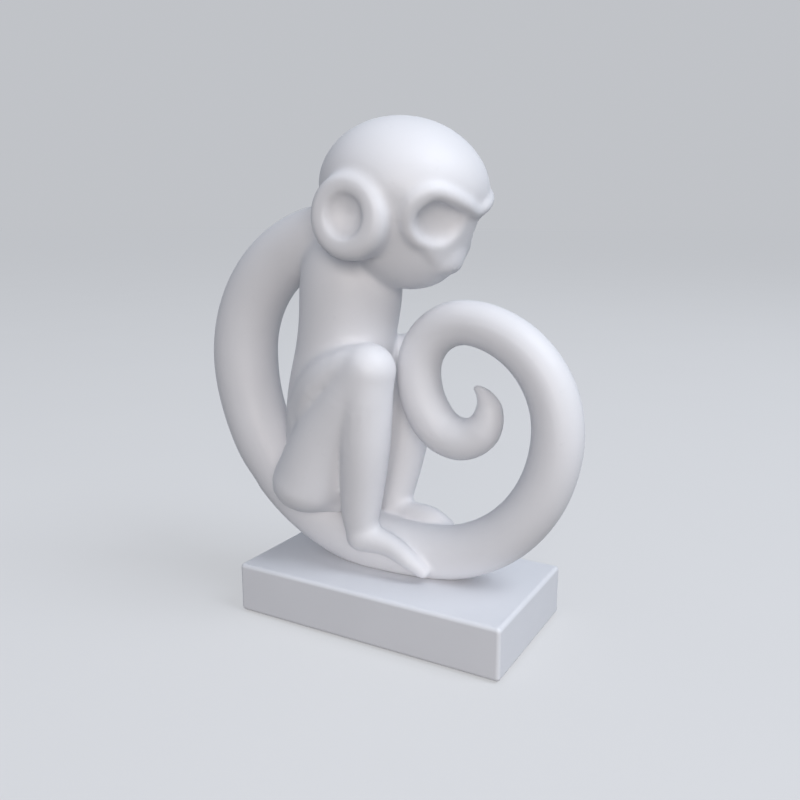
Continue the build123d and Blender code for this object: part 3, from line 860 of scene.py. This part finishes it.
class MONKEY_OT_pieces(bpy.types.Operator):
    """Cuts the skin back into the cast pieces"""

    bl_idname = "monkey.pieces"
    bl_label = "Pieces"

    def execute(self, context):
        settings = context.scene.monkey_skin
        rest = bpy.data.objects[SKIN]
        whole = copied(rest.data, "whole")
        only(whole)
        bpy.ops.object.shade_smooth()
        order = []
        for side in SIDES:
            order += [f"{side}_ear", f"{side}_foot", f"{side}_leg"]
        order += ["head", "tail_curl", "tail_root", "tail_saddle"]
        for node in order:
            cell = bpy.data.objects[CELL + node]
            finish_with(cell, "REMESH", mode="VOXEL", voxel_size=settings.grain)
            finish_with(cell, "DISPLACE", strength=settings.cut_margin, mid_level=0)
            finish_with(cell, "REMESH", mode="VOXEL", voxel_size=settings.grain)
            piece = bpy.data.objects.new(node + "_cast", rest.data.copy())
            context.scene.collection.objects.link(piece)
            finish_with(piece, "BOOLEAN", operation="INTERSECT", solver="MANIFOLD", object=cell)
            finish_with(rest, "BOOLEAN", operation="DIFFERENCE", solver="MANIFOLD", object=cell)
            bpy.data.objects.remove(cell)
        bpy.data.objects.remove(bpy.data.objects[CELL + "torso"])
        rest.name = "torso_cast"
        for node in [*order, "torso"]:
            piece = whole_part(bpy.data.objects[node + "_cast"])
            only(piece)
            bpy.ops.object.shade_smooth_by_angle(angle=CAST_CREASE)
            finish_with(
                piece, "DATA_TRANSFER", object=whole, use_loop_data=True,
                data_types_loops={"CUSTOM_NORMAL"}, loop_mapping="POLYINTERP_NEAREST",
                use_max_distance=True, max_distance=SAME_SURFACE)
            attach(piece, BODY)
            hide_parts(node)
        bpy.data.objects.remove(whole)
        return {"FINISHED"}


class MONKEY_OT_felt(bpy.types.Operator):
    """Cuts the felt that lies under the base plate"""

    bl_idname = "monkey.felt"
    bl_label = "Felt"

    def execute(self, context):
        settings = context.scene.monkey_felt
        low, high = (Vector(corner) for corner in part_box("felt_pad"))
        size = high - low
        trim = 2 * settings.nap
        bpy.ops.object.select_all(action="DESELECT")
        bpy.ops.mesh.primitive_cube_add(
            size=1, location=(low + high) / 2, scale=size - Vector((trim, trim, trim)))
        felt = settled(context.object, "felt_sheet")
        chosen_edges(felt, lambda one, other: abs(one.z - other.z) > size.z / 2)
        bpy.ops.mesh.bevel(offset=settings.corner, segments=8, affect="EDGES")
        bpy.ops.object.mode_set(mode="OBJECT")
        chosen_edges(felt, lambda one, other: abs(one.z - other.z) < size.z / 2)
        bpy.ops.mesh.bevel(offset=settings.edge, segments=3, affect="EDGES")
        bpy.ops.object.mode_set(mode="OBJECT")
        finish_with(felt, "REMESH", mode="VOXEL", voxel_size=FELT_GRAIN)
        bpy.ops.object.mode_set(mode="EDIT")
        bpy.ops.mesh.select_all(action="SELECT")
        bpy.ops.transform.vertex_random(offset=settings.nap, uniform=0.2, normal=0.8, seed=3)
        bpy.ops.mesh.vertices_smooth(factor=0.4, repeat=1)
        bpy.ops.object.mode_set(mode="OBJECT")
        bpy.ops.object.shade_smooth_by_angle(angle=FELT_CREASE)
        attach(felt, BODY)
        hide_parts("felt_pad")
        return {"FINISHED"}


class MONKEY_OT_finishes(bpy.types.Operator):
    """Gives every piece its finish"""

    bl_idname = "monkey.finishes"
    bl_label = "Finishes"

    def execute(self, context):
        settings = context.scene.monkey_finish
        materials = {slot: finished(slot, make, getattr(settings, slot)) for slot, make in MAKERS.items()}
        for node, slot in SLOTS.items():
            thing = bpy.data.objects.get(node + "_cast")
            if node == "felt_pad":
                thing = bpy.data.objects["felt_sheet"]
            if thing:
                thing.data.materials.clear()
                thing.data.materials.append(materials[slot])
                continue
            if not NODES[node].material_slots:
                raise RuntimeError(f"{node} has no material slot")
            for place in NODES[node].material_slots:
                place.material = materials[slot]
        return {"FINISHED"}


class MONKEY_OT_stage(bpy.types.Operator):
    """Sets the floor, the light and the camera"""

    bl_idname = "monkey.stage"
    bl_label = "Stage"

    def execute(self, context):
        settings = context.scene.monkey_stage
        bpy.ops.object.select_all(action="DESELECT")
        bpy.ops.mesh.primitive_plane_add(size=settings.floor_size, location=(0, 0, 0))
        floor = context.object
        floor.name = "floor"
        bpy.ops.object.camera_add(location=settings.camera_place)
        camera = context.object
        turn, tilt = settings.camera_turn, settings.camera_tilt
        level = math.cos(tilt)
        back = Vector((math.sin(turn) * level, -math.cos(turn) * level, math.sin(tilt)))
        camera.rotation_mode = "QUATERNION"
        camera.rotation_quaternion = (-back).to_track_quat("-Z", "Y")
        camera.data.lens = settings.camera_lens
        camera.data.sensor_width = 36
        camera.data.clip_start = 0.01
        context.scene.camera = camera
        context.scene.view_settings.view_transform = "Standard"
        self.lamp(settings, "key")
        self.lamp(settings, "fill")
        self.dress_floor(floor, settings.floor)
        self.dress_world(context.scene, settings)
        return {"FINISHED"}

    def dress_floor(self, floor, colour):
        """Pale where it is looked at, and dim as a source of light, as a dark room would be."""
        material = bpy.data.materials.new("floor_paint")
        material.use_nodes = True
        nodes = Nodes(material.node_tree)
        mottle = nodes.noise(nodes.place(), scale=9, detail=3)
        pale = nodes.mix(mottle, shade(colour, 0.985), shade(colour, 1))
        lit = nodes.add("ShaderNodeBsdfDiffuse", {}, {"Color": pale})
        glow = nodes.add("ShaderNodeEmission", {}, {"Color": pale, "Strength": FLOOR_GLOW})
        seen = nodes.add("ShaderNodeMixShader", {}, {0: FLOOR_GLOW_SHARE, 1: lit, 2: glow})
        dim = nodes.add("ShaderNodeBsdfDiffuse", {}, {"Color": shade(colour, FLOOR_DIM)})
        surface = nodes.add("ShaderNodeMixShader", {}, {0: nodes.looked_at(), 1: dim, 2: seen})
        nodes.add("ShaderNodeOutputMaterial", {}, {"Surface": surface})
        floor.data.materials.append(material)

    def dress_world(self, scene, settings):
        """A pale backdrop, and a dimmer bluish light all round."""
        world = bpy.data.worlds.new("studio")
        scene.world = world
        world.use_nodes = True
        nodes = Nodes(world.node_tree)
        light = nodes.add("ShaderNodeBackground", {}, {"Color": shade(settings.ambient, 1)})
        seen = nodes.add("ShaderNodeBackground", {}, {"Color": shade(settings.backdrop, 1)})
        surface = nodes.add("ShaderNodeMixShader", {}, {0: nodes.looked_at(), 1: light, 2: seen})
        nodes.add("ShaderNodeOutputWorld", {}, {"Surface": surface})

    def lamp(self, settings, name):
        """A square lamp that looks at the figure, made from the settings that start with its name."""
        bpy.ops.object.light_add(type="AREA", location=getattr(settings, name + "_place"))
        lamp = bpy.context.object
        lamp.name = name
        lamp.data.energy = getattr(settings, name + "_power")
        lamp.data.size = getattr(settings, name + "_size")
        lamp.data.spread = getattr(settings, name + "_spread")
        lamp.data.color = getattr(settings, name + "_colour")
        lamp.rotation_mode = "QUATERNION"
        lamp.rotation_quaternion = (Vector(LAMP_AIM) - lamp.location).to_track_quat("-Z", "Y")


STEPS = ("head", "ears", "torso", "legs", "tail", "skin", "pieces", "felt", "finishes", "stage")
SETTINGS = {
    "monkey_head": HeadSettings, "monkey_ears": EarSettings, "monkey_legs": LegSettings,
    "monkey_skin": SkinSettings, "monkey_felt": FeltSettings, "monkey_finish": FinishSettings,
    "monkey_stage": StageSettings}


class MONKEY_PT_steps(bpy.types.Panel):
    """Lists the steps in the order in which they are run, and their settings"""

    bl_idname = "MONKEY_PT_steps"
    bl_label = "Monkey Ornament"
    bl_space_type = "VIEW_3D"
    bl_region_type = "UI"
    bl_category = "Monkey"

    def draw(self, context):
        for step in STEPS:
            self.layout.operator("monkey." + step)
        for name, kind in SETTINGS.items():
            box = self.layout.box()
            for setting in kind.__annotations__:
                box.prop(getattr(context.scene, name), setting)


CLASSES = (
    *SETTINGS.values(), MONKEY_OT_head, MONKEY_OT_ears, MONKEY_OT_torso, MONKEY_OT_legs, MONKEY_OT_tail,
    MONKEY_OT_skin, MONKEY_OT_pieces, MONKEY_OT_felt, MONKEY_OT_finishes, MONKEY_OT_stage, MONKEY_PT_steps)


def register():
    """Makes the steps, their settings and the panel known."""
    for kind in CLASSES:
        bpy.utils.register_class(kind)
    for name, kind in SETTINGS.items():
        setattr(bpy.types.Scene, name, bpy.props.PointerProperty(type=kind))


def unregister():
    """Takes them away again."""
    for name in SETTINGS:
        delattr(bpy.types.Scene, name)
    for kind in reversed(CLASSES):
        bpy.utils.unregister_class(kind)


def main():
    """Runs all steps."""
    register()
    for step in STEPS:
        getattr(bpy.ops.monkey, step)()


if __name__ == "__main__":
    main()
